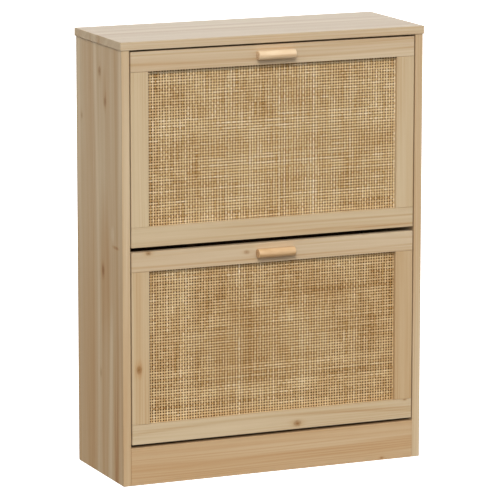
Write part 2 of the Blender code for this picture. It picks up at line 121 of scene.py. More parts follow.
# Handles and hardware
HANDLE_SIDES = 64
HANDLE_ROUNDING = 0.0019
PITH_BEHIND = 0.003
PITH_BELOW = 0.002
FLAT_EDGE = 0.0005
SCREW_SIDES = 32
SCREW_HEAD_RADIUS = 0.0036
SCREW_HEAD = 0.0022
SCREW_RADIUS = 0.0018
THREAD_PITCH = 0.0012
CROSS_TURN = math.radians(17)
NAIL_SIDES = 20
NAIL_HEAD_RADIUS = 0.0022
NAIL_HEAD = 0.0004
NAIL_INSET = 0.008
NAILS_ACROSS = 6
NAILS_UP = 8


# --- Colours and shader nodes ------------------------------------------------------------------


def rgb(red, green, blue):
    """A colour from its 0..255 display values, as the linear values that shaders use."""
    values = [v / 255 for v in (red, green, blue)]
    linear = [v / 12.92 if v <= 0.04045 else ((v + 0.055) / 1.055) ** 2.4 for v in values]
    return (*linear, 1.0)


class Shader:
    """A material under construction: its methods add nodes and give back their output."""

    def __init__(self, name):
        self.material = bpy.data.materials.new(name)
        self.material.use_nodes = True
        self.tree = self.material.node_tree
        self.surface = self.tree.nodes["Principled BSDF"]

    def node(self, kind, inputs=(), **settings):
        """A new node with its settings, and with its inputs as (socket, value) pairs."""
        node = self.tree.nodes.new(kind)
        for key, value in settings.items():
            setattr(node, key, value)
        for socket, value in inputs:
            self.feed(node.inputs[socket], value)
        return node

    def feed(self, socket, value):
        """Links an output to a socket, or sets the socket to a plain value."""
        if isinstance(value, bpy.types.NodeSocket):
            self.tree.links.new(value, socket)
        else:
            socket.default_value = value

    def math(self, operation, a, b=0.0, c=0.0):
        inputs = ((0, a), (1, b), (2, c))
        return self.node("ShaderNodeMath", inputs, operation=operation).outputs[0]

    def place(self):
        """The x, y and z of a point in the piece's own frame, which is the row frame at rest."""
        where = self.node("ShaderNodeTexCoord").outputs["Object"]
        return list(self.node("ShaderNodeSeparateXYZ", ((0, where),)).outputs)

    def point(self, x, y, z):
        return self.node("ShaderNodeCombineXYZ", ((0, x), (1, y), (2, z))).outputs[0]

    def scaled(self, x, y, z, scales, shift=0.0):
        """A point for noise: each coordinate times its scale, then moved by shift."""
        parts = [self.math("MULTIPLY_ADD", v, s, shift) for v, s in zip((x, y, z), scales)]
        return self.point(*parts)

    def noise(self, vector, detail=2.0, roughness=0.5, distortion=0.0):
        """Smooth noise from about 0.2 to 0.8, around 0.5."""
        inputs = (
            ("Vector", vector),
            ("Scale", 1.0),
            ("Detail", detail),
            ("Roughness", roughness),
            ("Distortion", distortion),
        )
        return self.node("ShaderNodeTexNoise", inputs).outputs["Fac"]

    def centred_noise(self, vector, amount, detail=2.0, roughness=0.5):
        """Noise around 0 that stays within half the amount of it."""
        return self.math("MULTIPLY_ADD", self.noise(vector, detail, roughness), amount, -amount / 2)

    def smooth(self, value, low, high):
        """0 below low, 1 above high, with a soft turn between them. It falls if low is above high."""
        inputs = (("Value", value), ("From Min", low), ("From Max", high))
        kind = "ShaderNodeMapRange"
        return self.node(kind, inputs, interpolation_type="SMOOTHSTEP").outputs[0]

    def ramp(self, factor, stops):
        """The colour for a factor, from (position, colour) stops."""
        node = self.node("ShaderNodeValToRGB", ((0, factor),))
        elements = node.color_ramp.elements
        while len(elements) < len(stops):
            elements.new(0.5)
        for element, (position, colour) in zip(elements, stops):
            element.position = position
            element.color = colour
        return node.outputs[0]

    def mix(self, factor, a, b, blend="MIX"):
        node = self.node("ShaderNodeMix", data_type="RGBA", blend_type=blend)
        for socket, value in zip((0, 6, 7), (factor, a, b)):
            self.feed(node.inputs[socket], value)
        return node.outputs[2]

    def finish(self, colour, roughness, height=None, bump=0.2, distance=0.0002, specular=0.5):
        """The material, with its colour, roughness and relief joined to the surface."""
        self.feed(self.surface.inputs["Base Color"], colour)
        self.feed(self.surface.inputs["Roughness"], roughness)
        self.surface.inputs["Specular IOR Level"].default_value = specular
        if height is not None:
            inputs = (("Strength", bump), ("Distance", distance), ("Height", height))
            relief = self.node("ShaderNodeBump", inputs).outputs[0]
            self.feed(self.surface.inputs["Normal"], relief)
        return self.material


# --- Pine --------------------------------------------------------------------------------------

PINE_PALE = rgb(217, 197, 166)
PINE_MID = rgb(200, 177, 144)
PINE_TAN = rgb(184, 148, 105)
PINE_BROWN = rgb(156, 105, 58)
KNOT_BROWN = rgb(160, 113, 59)
KNOT_CORE = rgb(124, 83, 40)
SIDE_TINT = (1.0, 0.98, 0.94)
STILE_TINT = (1.0, 1.0, 0.955)
RAIL_TINTS = {"top": NO_TINT, "bottom": (0.970, 0.966, 0.928)}
GROWTH_LINE_SPACING = 0.0052
WEAR_WIDTH = 0.0008


def streak(shader, along, across, tone, path, soft, reach=None):
    """A tan or pale line along the grain, as a tone to add.

    path is its place at three points, (along, across). soft is how far it fades to the lower and
    to the higher side of that line, and reach is the stretch it keeps to.
    """
    (a0, c0), (a1, c1), (a2, c2) = path
    bend = ((c2 - c0) / (a2 - a0) - (c1 - c0) / (a1 - a0)) / (a2 - a1)
    slope = (c1 - c0) / (a1 - a0) - bend * (a0 + a1)
    start = c0 - slope * a0 - bend * a0 * a0
    line = shader.math("MULTIPLY_ADD", along, bend, slope)
    line = shader.math("MULTIPLY_ADD", along, line, start)
    off = shader.math("SUBTRACT", across, line)
    rise = shader.smooth(off, -soft[0], 0.0)
    fall = shader.smooth(off, soft[1], 0.0)
    shape = shader.math("MULTIPLY", rise, fall)
    if reach:
        low, high, fade = reach
        shape = shader.math("MULTIPLY", shape, shader.smooth(along, low - fade, low + fade))
        shape = shader.math("MULTIPLY", shape, shader.smooth(along, high + fade, high - fade))
    return shader.math("MULTIPLY", shape, tone)


def distance_in_ellipse(shader, along, across, centre, radii):
    """1 at the ellipse's outline and 0 at its centre."""
    a = shader.math("MULTIPLY_ADD", along, 1 / radii[0], -centre[0] / radii[0])
    c = shader.math("MULTIPLY_ADD", across, 1 / radii[1], -centre[1] / radii[1])
    squares = shader.math("MULTIPLY_ADD", a, a, shader.math("MULTIPLY", c, c))
    return shader.math("SQRT", squares)


def edge_nearness(shader, axes, box, width):
    """1 on the board's edges and 0 further than width from them."""
    low, high = box
    gaps = []
    for value, near, far in zip(axes, low, high):
        a = shader.math("SUBTRACT", value, near)
        b = shader.math("SUBTRACT", far, value)
        gaps.append(shader.math("MINIMUM", a, b))
    larger = shader.math("MAXIMUM", gaps[0], gaps[1])
    smaller = shader.math("MINIMUM", gaps[0], gaps[1])
    middle = shader.math("MAXIMUM", smaller, shader.math("MINIMUM", larger, gaps[2]))
    return shader.smooth(middle, width, 0.0)


def bend_lines(shader, place, shift, knots):
    """The place across the board, with a little swing along it and drawn apart round each knot."""
    along, across, depth = place
    swing = shader.scaled(along, across, depth, (1.6, 7.0, 7.0), shift)
    bent = shader.math("ADD", across, shader.centred_noise(swing, 0.012, 1.0))
    for a0, c0, radius, strength in knots:
        near = distance_in_ellipse(shader, along, across, (a0, c0), (radius * 4.5, radius * 2.2))
        pull = shader.math("MULTIPLY", shader.smooth(near, 1.0, 0.0), 0.75 * strength)
        off = shader.math("SUBTRACT", bent, c0)
        bent = shader.math("SUBTRACT", bent, shader.math("MULTIPLY", off, pull))
    return bent


def late_wood(shader, turn, low, high):
    """The dark part of each growth ring. turn goes from 0 to 1 over one ring."""
    rise = shader.smooth(turn, low, high)
    fall = shader.smooth(turn, 1.0, high)
    return shader.math("MULTIPLY", rise, fall)


def knot_marks(shader, place, shift, knots, tone):
    """The tone with a tan stain along the grain at each knot, and how much brown knot shows."""
    along, across, depth = place
    wobble = shader.centred_noise(shader.scaled(along, across, depth, (260, 260, 260), shift), 0.7)
    core = 0.0
    for a0, c0, radius, strength in knots:
        stain = distance_in_ellipse(shader, along, across, (a0, c0), (radius * 4.0, radius * 1.8))
        tone = shader.math("MULTIPLY_ADD", shader.smooth(stain, 1.0, 0.0), 0.22 * strength, tone)
        near = distance_in_ellipse(shader, along, across, (a0, c0), (radius * 1.4, radius))
        near = shader.math("ADD", near, wobble)
        rings = shader.math("SINE", shader.math("MULTIPLY", near, 11.0))
        ringed = shader.math("MULTIPLY_ADD", rings, 0.14, 0.86)
        spot = shader.math("MULTIPLY", shader.smooth(near, 1.25, 0.15), strength)
        core = shader.math("MAXIMUM", core, shader.math("MULTIPLY", spot, ringed))
    return tone, core


def pine(name, box, grain, over, seed, tint=NO_TINT, warmth=0.0, knots=(), streaks=(), patches=(),
         gloss=0.36):
    """Pine for one board.

    grain is the axis that its lines run along, and over is the axis that they lie side by side on.
    knots are (along, across, radius, strength), streaks are the last arguments of streak, and
    patches are (tone, centre, radii). warmth shifts the whole board towards tan.
    """
    shader = Shader(name)
    axes = shader.place()
    deep = ({"x", "y", "z"} - {grain, over}).pop()
    place = [axes["xyz".index(letter)] for letter in (grain, over, deep)]
    along, _, depth = place
    shift = seed * 3.71
    bent = bend_lines(shader, place, shift, knots)
    line = shader.math("MULTIPLY_ADD", depth, 1.1, bent)

    # Broad bands, growth lines and fibres, each finer than the one before.
    bands = shader.scaled(along, line, depth, (0.9, 34.0, 0.0), shift + 2.0)
    tone = shader.math("ADD", shader.centred_noise(bands, 0.62, 2.0, 0.6), 0.46 + warmth)
    uneven = shader.scaled(along, line, depth, (1.5, 70.0, 0.0), shift + 5.0)
    phase = shader.centred_noise(uneven, 2.6)
    phase = shader.math("MULTIPLY_ADD", line, 1 / GROWTH_LINE_SPACING, phase)
    late = late_wood(shader, shader.math("FRACT", phase), 0.25, 0.9)
    fade = shader.scaled(along, line, depth, (2.5, 45.0, 0.0), shift + 9.0)
    late = shader.math("MULTIPLY", late, shader.smooth(shader.noise(fade, 1.0), 0.36, 0.68))
    tone = shader.math("MULTIPLY_ADD", late, 0.17, tone)
    fine = shader.scaled(along, bent, depth, (5.0, 330.0, 330.0), shift)
    tone = shader.math("ADD", tone, shader.centred_noise(fine, 0.20, 2.0, 0.6))
    fibre = shader.noise(shader.scaled(along, bent, depth, (24.0, 1500.0, 1500.0), shift), 2.0, 0.6)
    tone = shader.math("ADD", tone, shader.math("MULTIPLY_ADD", fibre, 0.12, -0.06))

    # What is drawn: streaks, patches and knots.
    for drawn in streaks:
        tone = shader.math("ADD", tone, streak(shader, along, bent, *drawn))
    for amount, centre, radii in patches:
        near = distance_in_ellipse(shader, along, bent, centre, radii)
        tone = shader.math("MULTIPLY_ADD", shader.smooth(near, 1.0, 0.25), amount, tone)
    tone, core = knot_marks(shader, place, shift, knots, tone)

    # Colour, gloss and relief, with a little wear along the board's edges.
    colour = shader.ramp(
        tone, ((0.15, PINE_PALE), (0.45, PINE_MID), (0.80, PINE_TAN), (1.0, PINE_BROWN))
    )
    knot_colour = shader.mix(fibre, KNOT_CORE, KNOT_BROWN)
    colour = shader.mix(core, colour, knot_colour)
    wear = edge_nearness(shader, axes, box, WEAR_WIDTH)
    colour = shader.mix(shader.math("MULTIPLY", wear, 0.25), colour, PINE_TAN)
    colour = shader.mix(1.0, colour, (*tint, 1.0), "MULTIPLY")
    rough = shader.math("MULTIPLY_ADD", fibre, 0.16, gloss)
    rough = shader.math("MULTIPLY_ADD", wear, 0.12, rough)
    height = shader.math("MULTIPLY_ADD", late, -0.35, fibre)
    height = shader.math("MULTIPLY_ADD", core, -0.8, height)
    return shader.finish(colour, rough, height, 0.25, 0.00015)


def soften(obj, width):
    """Rounds the edges of a CAD piece: its faces are joined first, because they come apart."""
    weld = obj.modifiers.new("joined_faces", "WELD")
    weld.merge_threshold = SAME_POINT
    rounded = obj.modifiers.new("rounded_edges", "BEVEL")
    rounded.width = width
    rounded.segments = ROUNDING_SEGMENTS
    rounded.limit_method = "ANGLE"
    rounded.angle_limit = ROUNDED_ANGLE
    rounded.harden_normals = True


def dress(name, material, width=BOARD_ROUNDING):
    """Gives a CAD node its material, in every slot it has, and softer edges."""
    for slot in nodes[name].material_slots:
        slot.material = material
    soften(nodes[name], width)


# Grain that is drawn, as the front and the left side show it. Streaks are
# (tone, three points (along, across), (fade below, fade above), (from, to, fade at the ends)),
# and most run the whole length and leave the last part out.
LEFT_SIDE_STREAKS = (
    (0.16, ((0.50, 0.0), (0.25, 0.0), (0.0, 0.0)), (0.16, 0.16), (-0.3, 0.38, 0.20)),
    (0.07, ((0.797, 0.046), (0.50, 0.038), (0.0, 0.038)), (0.004, 0.022)),
    (0.10, ((0.50, 0.070), (0.25, 0.066), (0.0, 0.060)), (0.040, 0.040), (-0.1, 0.42, 0.12)),
    (0.14, ((0.60, 0.090), (0.25, 0.088), (0.0, 0.088)), (0.014, 0.018), (-0.1, 0.60, 0.06)),
    (-0.24, ((0.797, 0.028), (0.50, 0.018), (0.0, 0.020)), (0.016, 0.012)),
    (0.14, ((0.40, -0.002), (0.15, -0.003), (0.0, -0.005)), (0.012, 0.012), (-0.1, 0.34, 0.08)),
    (-0.26, ((0.35, -0.052), (0.20, -0.045), (0.0, -0.039)), (0.018, 0.018), (-0.1, 0.30, 0.06)),
    (0.22, ((0.797, -0.072), (0.40, -0.080), (0.0, -0.073)), (0.014, 0.010)),
    (0.10, ((0.40, -0.070), (0.20, -0.067), (0.0, -0.068)), (0.004, 0.005), (-0.1, 0.26, 0.08)),
    (-0.20, ((0.797, -0.098), (0.60, -0.099), (0.40, -0.099)), (0.010, 0.012), (0.60, 0.9, 0.10)),
    (-0.14, ((0.797, -0.052), (0.60, -0.052), (0.40, -0.054)), (0.008, 0.008), (0.58, 0.9, 0.10)),
    (0.22, ((0.60, -0.098), (0.30, -0.098), (0.0, -0.098)), (0.018, 0.012), (-0.1, 0.46, 0.20)),
    (-0.14, ((0.797, 0.108), (0.60, 0.109), (0.40, 0.110)), (0.012, 0.010), (0.46, 0.9, 0.06)),
    (0.15, ((0.50, 0.115), (0.25, 0.115), (0.0, 0.115)), (0.005, 0.005), (-0.1, 0.48, 0.05)),
)
LEFT_SIDE_KNOTS = (
    (0.748, 0.002, 0.0072, 0.75),
    (0.696, -0.024, 0.0070, 0.75),
    (0.655, 0.093, 0.0048, 0.50),
    (0.384, -0.010, 0.0066, 1.00),
    (0.191, 0.004, 0.0066, 0.35),
)
LEFT_SIDE_PATCHES = (
    (0.20, (0.40, -0.014), (0.18, 0.040)),
    (0.12, (0.72, -0.022), (0.05, 0.014)),
    (0.26, (0.436, -0.072), (0.0045, 0.024)),
    (-0.16, (0.458, -0.058), (0.020, 0.012)),
    # painted shade: this patch makes the side darker towards the floor
    (0.03, (0.0, 0.0), (0.24, 0.30)),
)
RIGHT_SIDE_STREAKS = ((0.28, ((0.8, -0.02), (0.4, 0.004), (0.0, -0.006)), (0.030, 0.004)),)
RIGHT_SIDE_KNOTS = (
    (0.61, -0.031, 0.0055, 0.8),
    (0.27, 0.048, 0.005, 0.6),
    (0.46, 0.081, 0.004, 0.5),
)
TOP_STREAKS = (
    (0.22, ((-0.3, -0.003), (0.0, -0.001), (0.3, 0.006)), (0.006, 0.020)),
    (0.16, ((-0.3, 0.040), (0.0, 0.047), (0.3, 0.050)), (0.005, 0.012)),
    (-0.16, ((-0.3, 0.020), (0.0, 0.024), (0.3, 0.026)), (0.014, 0.012)),
)
# The plinth's tint, and its warmth below, are painted shade: darker and warmer than the boards above,
# towards the floor.
PLINTH_PAINTED_SHADE_TINT = (1.0, 0.95, 0.88)
PLINTH_STREAKS = (
    (0.09, ((-0.28, 0.058), (0.0, 0.056), (0.28, 0.052)), (0.006, 0.008)),
    (0.06, ((-0.28, 0.036), (0.0, 0.034), (0.28, 0.038)), (0.006, 0.004)),
    (-0.06, ((-0.28, 0.020), (0.0, 0.018), (0.28, 0.014)), (0.006, 0.006)),
)
PLINTH_KNOTS = ((0.220, 0.004, 0.003, 0.8),)
INSIDE_WARMTH = 0.05
RACK_BOARDS = ("front_ledge", "divider", "rear_ledge", "rear_rest")


def dress_board(node, grain, over, seed, *looks, name=None, **more_looks):
    """A CAD board with pine of its own. The looks are the rest of what pine takes."""
    material = pine(name or f"pine_{node}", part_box(node), grain, over, seed, *looks, **more_looks)
    dress(node, material)


def dress_boards():
    """Every board of the carcass and the racks, each with a grain of its own."""
    dress_board("side_panel_left", "z", "y", 1, SIDE_TINT, 0.03, LEFT_SIDE_KNOTS,
                LEFT_SIDE_STREAKS, LEFT_SIDE_PATCHES, name="pine_side_left")
    dress_board("side_panel_right", "z", "y", 2, SIDE_TINT, 0.03, RIGHT_SIDE_KNOTS,
                RIGHT_SIDE_STREAKS, name="pine_side_right")
    dress_board("top_panel", "x", "y", 3, NO_TINT, -0.06, (), TOP_STREAKS, gloss=0.26,
                name="pine_top")
    # tint and warmth of the plinth: painted shade towards the floor
    dress_board("plinth_board", "x", "z", 4, PLINTH_PAINTED_SHADE_TINT, 0.16, PLINTH_KNOTS, PLINTH_STREAKS,
                name="pine_plinth")
    for seed, node in enumerate(("bottom_panel", "base_rail_rear", "middle_stretcher"), 5):
        over = "y" if node == "bottom_panel" else "z"
        dress_board(node, "x", over, seed, NO_TINT, INSIDE_WARMTH)
    rack_nodes = [f"{door}_rack_{board}" for door in DOORS for board in RACK_BOARDS]
    for seed, node in enumerate(rack_nodes, 10):
        over = "y" if node.endswith("ledge") else "z"
        dress_board(node, "x", over, seed, NO_TINT, INSIDE_WARMTH)


# The doors' rails and stiles: streaks and knots as above, and how far each stile is towards tan.
RAIL_STREAKS = {
    "upper_top": (
        (0.18, ((-0.28, 0.7705), (0.0, 0.7685), (0.28, 0.7740)), (0.0030, 0.0050)),
        (0.16, ((-0.28, 0.7870), (0.0, 0.7860), (0.28, 0.7905)), (0.0012, 0.0030)),
    ),
    "upper_bottom": (
        (0.26, ((-0.28, 0.4655), (0.0, 0.4620), (0.28, 0.4635)), (0.0025, 0.0045), (-0.1, 0.4, 0.1)),
        (0.26, ((0.0, 0.4400), (0.15, 0.4440), (0.28, 0.4470)), (0.0020, 0.0030), (0.16, 0.4, 0.05)),
    ),
    "lower_top": (
        (0.18, ((-0.28, 0.4040), (0.0, 0.4010), (0.28, 0.4060)), (0.003, 0.003)),
        (0.12, ((-0.28, 0.4210), (0.0, 0.4215), (0.28, 0.4180)), (0.002, 0.006)),
    ),
    "lower_bottom": (
        (0.14, ((-0.28, 0.0930), (-0.1, 0.1020), (0.28, 0.0960)), (0.004, 0.005)),
        (0.16, ((0.0, 0.1010), (0.15, 0.0990), (0.28, 0.0900)), (0.002, 0.004), (0.03, 0.4, 0.04)),
    ),
}
RAIL_KNOTS = {
    "lower_top": ((-0.248, 0.428, 0.0042, 0.9), (-0.055, 0.416, 0.0046, 0.6)),
    "lower_bottom": ((0.047, 0.0865, 0.0064, 1.0), (0.267, 0.112, 0.0030, 0.7)),
}
STILE_KNOTS = {"lower_left": ((0.215, -0.267, 0.0060, 1.0),)}
# The lower stiles' greater warmth is partly painted shade, darker towards the bottom; the rest is
# their own tone.
STILE_WARMTH = {"upper_left": -0.06, "upper_right": 0.02, "lower_left": 0.04, "lower_right": 0.18}


def dress_door_frames():
    """The rails and stiles of both doors, each with a grain of its own."""
    seed = 20
    for door in DOORS:
        for place in ("top", "bottom"):
            key = f"{door}_{place}"
            dress_board(f"{door}_door_{place}_rail", "x", "z", seed, RAIL_TINTS[place], 0.0,
                        RAIL_KNOTS.get(key, ()), RAIL_STREAKS[key])
            seed += 1
        for side in SIDES:
            key = f"{door}_{side}"
            dress_board(f"{door}_door_stile_{side}", "z", "x", seed, STILE_TINT,
                        STILE_WARMTH[key], STILE_KNOTS.get(key, ()))
            seed += 1


# --- Other materials ---------------------------------------------------------------------------


def rattan_material(name, lengthwise):
    """Peeled cane: pale to brown strands, with fibres along them and stains across the sheet."""
    shader = Shader(name)
    x, y, z = shader.place()
    tone = shader.node("ShaderNodeAttribute", attribute_name="tone").outputs["Fac"]
    fibres = (60.0, 2600.0, 2600.0) if lengthwise == "x" else (2600.0, 2600.0, 60.0)
    fibre = shader.noise(shader.scaled(x, y, z, fibres), 2.0, 0.6)
    blotch = shader.noise(shader.scaled(x, y, z, (9.0, 0.0, 11.0), 4.0), 2.0, 0.6)
    nodes_of_cane = shader.noise(shader.scaled(x, y, z, (170.0, 40.0, 170.0), 8.0), 1.0)
    total = shader.math("MULTIPLY_ADD", fibre, 0.30, tone)
    total = shader.math("MULTIPLY_ADD", blotch, 0.43, total)
    total = shader.math("MULTIPLY_ADD", nodes_of_cane, 0.22, total)
    total = shader.math("SUBTRACT", total, 0.44)
    colour = shader.ramp(
        total,
        (
            (0.0, rgb(126, 82, 36)),
            (0.3, rgb(180, 138, 84)),
            (0.6, rgb(217, 188, 141)),
            (1.0, rgb(245, 229, 199)),
        ),
    )
    rough = shader.math("MULTIPLY_ADD", fibre, 0.25, 0.38)
    return shader.finish(colour, rough, fibre, 0.35, 0.0001, specular=0.2)


def hardboard_material(name, dark, pale):
    """Pressed fibres: short threads every way, on a mottled brown ground."""
    shader = Shader(name)
    x, y, z = shader.place()
    mottle = shader.noise(shader.scaled(x, y, z, (14.0, 14.0, 14.0)), 3.0, 0.6)
    one_way = shader.noise(shader.scaled(x, y, z, (260.0, 60.0, 900.0)), 3.0, 0.7, 0.6)
    other_way = shader.noise(shader.scaled(x, y, z, (900.0, 60.0, 260.0), 3.0), 3.0, 0.7, 0.6)
    threads = shader.math("MULTIPLY", shader.math("ADD", one_way, other_way), 0.5)
    tone = shader.math("MULTIPLY_ADD", mottle, 0.5, shader.math("SUBTRACT", threads, 0.25))
    colour = shader.ramp(tone, ((0.25, dark), (0.75, pale)))
    rough = shader.math("MULTIPLY_ADD", threads, 0.25, 0.62)
    return shader.finish(colour, rough, threads, 0.5, 0.0003, specular=0.1)


RING_SPACING = 0.0029
END_GRAIN = rgb(132, 92, 62)


def turned_wood_material(name, pith, dark, mid, pale, seed):
    """A turned bar along X: growth rings round a pith line, seen as lines along it and as rings
    on its ends."""
    shader = Shader(name)
    x, y, z = shader.place()
    drift = shader.centred_noise(shader.scaled(x, y, z, (14.0, 60.0, 60.0), seed), 0.0022)
    a = shader.math("SUBTRACT", y, pith[0])
    b = shader.math("SUBTRACT", z, pith[1])
    squares = shader.math("MULTIPLY_ADD", a, a, shader.math("MULTIPLY", b, b))
    radius = shader.math("ADD", shader.math("SQRT", squares), drift)
    turn = shader.math("FRACT", shader.math("MULTIPLY", radius, 1 / RING_SPACING))
    late = late_wood(shader, turn, 0.2, 0.85)
    fibre = shader.noise(shader.scaled(x, y, z, (45.0, 1900.0, 1900.0), seed), 2.0, 0.6)
    cloud = shader.noise(shader.scaled(x, y, z, (26.0, 110.0, 110.0), seed + 4.0), 2.0)
    facing = shader.node("ShaderNodeTexCoord").outputs["Normal"]
    end = shader.math("ABSOLUTE", shader.node("ShaderNodeSeparateXYZ", ((0, facing),)).outputs[0])
    end = shader.smooth(end, 0.7, 0.95)
    tone = shader.math("MULTIPLY", fibre, 0.30)
    tone = shader.math("MULTIPLY_ADD", cloud, 0.55, tone)
    tone = shader.math("MULTIPLY_ADD", late, 0.24, tone)
    tone = shader.math("MULTIPLY_ADD", end, 0.15, tone)
    colour = shader.ramp(tone, ((0.15, pale), (0.50, mid), (0.95, dark)))
    ring = shader.math("MULTIPLY", shader.math("MULTIPLY", late, end), 0.75)
    colour = shader.mix(ring, colour, END_GRAIN)
    rough = shader.math("MULTIPLY_ADD", fibre, 0.18, 0.30)
    rough = shader.math("MULTIPLY_ADD", end, 0.25, rough)
    return shader.finish(colour, rough, shader.math("MULTIPLY_ADD", late, -0.4, fibre), 0.25, 0.0001)


def plastic_material(name):
    """Moulded black plastic with a fine texture and a little dust grey."""
    shader = Shader(name)
    x, y, z = shader.place()
    grain = shader.noise(shader.scaled(x, y, z, (2400.0, 2400.0, 2400.0)), 2.0, 0.6)
    cloud = shader.noise(shader.scaled(x, y, z, (35.0, 35.0, 35.0)), 3.0)
    colour = shader.ramp(cloud, ((0.3, rgb(32, 32, 33)), (0.7, rgb(47, 46, 46))))
    rough = shader.math("MULTIPLY_ADD", cloud, 0.22, 0.36)
    return shader.finish(colour, rough, grain, 0.35, 0.00008)


def zinc_material(name):
    """Bright zinc: cloudy plating with a slight yellow cast and fine scratches."""
    shader = Shader(name)
    x, y, z = shader.place()
    cloud = shader.noise(shader.scaled(x, y, z, (420.0, 420.0, 420.0)), 3.0, 0.6)
    scratch = shader.noise(shader.scaled(x, y, z, (5200.0, 900.0, 3100.0), 2.0), 2.0)
    colour = shader.ramp(cloud, ((0.3, rgb(176, 174, 166)), (0.7, rgb(212, 211, 206))))
    rough = shader.math("MULTIPLY_ADD", scratch, 0.25, 0.20)
    shader.surface.inputs["Metallic"].default_value = 1.0
    return shader.finish(colour, rough, scratch, 0.2, 0.00004)


def dress_hardware(metal, plastic, wood):
    """The pins, dowels and brackets that keep their CAD shape."""
    for side in SIDES:
        dress(f"cam_bolt_{side}", metal, METAL_ROUNDING)
        dress(f"top_dowel_{side}", wood, METAL_ROUNDING)
        for door in DOORS:
            dress(f"{door}_pivot_pin_{side}", metal, METAL_ROUNDING)
            dress(f"{door}_stop_pin_{side}", plastic, METAL_ROUNDING)
            dress(f"{door}_bracket_{side}", plastic, PLASTIC_ROUNDING)


# --- New pieces --------------------------------------------------------------------------------


def add_piece(name, mesh, material, body, slot, *replaced):
    """A visible piece that rides on a body and takes the material given. The slot is not used."""
    obj = bpy.data.objects.new(name, mesh)
    bpy.context.scene.collection.objects.link(obj)
    obj.data.materials.append(material)
    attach(obj, body)
    if replaced:
        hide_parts(*replaced)
    return obj


def shade_smooth(mesh, sharp=SHARP_ANGLE):
    """Smooth shading, but not over the edges that turn by more than the angle sharp."""
    mesh.shade_smooth()
    mesh.set_sharp_from_angle(angle=sharp)


def mesh_from(bm, name, sharp=SHARP_ANGLE):
    """A mesh made of the bmesh, which is freed."""
    mesh = bpy.data.meshes.new(name)
    bm.normal_update()
    bm.to_mesh(mesh)
    bm.free()
    shade_smooth(mesh, sharp)
    return mesh


def lens_section(width):
    """Six points round a strand's section, as (sideways, towards the front), flat behind."""
    half = width / 2
    top = STRAND_THICKNESS * 0.58
    back = -STRAND_THICKNESS * 0.42
    return np.array(
        [
            (-half, 0.0),
            (-half * 0.55, top * 0.86),
            (half * 0.55, top * 0.86),
            (half, 0.0),
            (half * 0.60, back),
            (-half * 0.60, back),
        ]
    )


def strand_tones(steps, upright, random):
    """How the tone differs along one strand: its own shade, its lengths of cane and darker runs.

    A few strands are much paler than the others, and level strands have more of the darker runs.
    """
    pieces = random.normal(0.0, 0.06, steps // SAMPLES_PER_CANE + 2)
    piece_of = np.linspace(0, len(pieces) - 1.001, steps + 1).astype(int)
    shade = random.normal(0.0, 0.062) + 0.13 * (random.random() > 0.97)
    tone = shade + pieces[piece_of] + random.normal(0.0, 0.05, steps + 1)
    if random.random() < (0.10 if upright else 0.22):
        length = random.integers(20, 130)
        start = random.integers(0, steps)
        tone[start:start + length] -= random.uniform(0.08, 0.24)
    return tone


def woven_mesh(name, middle, centres, crossings, upright, look, random):
    """One direction of a plain weave: closed strands that pass over and under the other ones.

    middle is the y of the sheet's middle, centres are the strands' places, crossings those of the
    strands they cross, and look is the sheet's tone and how much its strands differ.
    """
    shade, contrast = look
    section = lens_section(UPRIGHT_WIDTH if upright else LEVEL_WIDTH)
    around = len(section)
    pitch = crossings[1] - crossings[0]
    low, high = crossings[0] - pitch / 2, crossings[-1] + pitch / 2
    steps = len(crossings) * SAMPLES_PER_CROSSING
    run = np.linspace(low, high, steps + 1)
    side = 1 if upright else -1
    points = []
    tones = []
    faces = []
    ring = np.arange(around)
    turned = np.roll(ring, -1)
    for i, centre in enumerate(centres):
        over = np.cos(np.pi * ((run - crossings[0]) / pitch + i)) * side
        bends = random.normal(0.0, STRAND_WANDER, steps // SAMPLES_PER_BEND + 3)
        wander = np.interp(run, np.linspace(low, high, len(bends)), bends)
        width = random.normal(1.0, WIDTH_SPREAD)
        sideways = centre + wander[:, None] + section[None, :, 0] * width
        y = middle - WEAVE_DEPTH * over[:, None] - section[None, :, 1]
        length = np.broadcast_to(run[:, None], sideways.shape)
        columns = (sideways, y, length) if upright else (length, y, sideways)
        points.append(np.stack(columns, axis=-1).reshape(-1, 3))

        # the crossing term is painted light where the strand passes over and painted shade where it
        # dips under
        tone = shade + CROSSING_PAINTED_SHADE * over + contrast * strand_tones(steps, upright, random)
        tones.append(np.repeat(tone, around))

        first = i * (steps + 1) * around
        for step in range(steps):
            a = first + step * around
            quads = np.stack((a + ring, a + turned, a + around + turned, a + around + ring), axis=-1)
            faces.extend(quads.tolist())
        faces.append((first + ring[::-1]).tolist())
        faces.append((first + steps * around + ring).tolist())
    mesh = bpy.data.meshes.new(name)
    mesh.from_pydata(np.concatenate(points).tolist(), [], faces)
    attribute = mesh.attributes.new("tone", "FLOAT", "POINT")
    attribute.data.foreach_set("value", np.concatenate(tones).astype(np.float32))
    bm = bmesh.new()
    bm.from_mesh(mesh)
    bmesh.ops.recalc_face_normals(bm, faces=bm.faces)
    bm.to_mesh(mesh)
    bm.free()
    shade_smooth(mesh, math.radians(70))
    return mesh


def evenly(low, high, pitch):
    """Places pitch apart, centred between low and high, that fill the space."""
    count = int((high - low) / pitch)
    middle = (low + high) / 2
    return middle + pitch * (np.arange(count) - (count - 1) / 2)


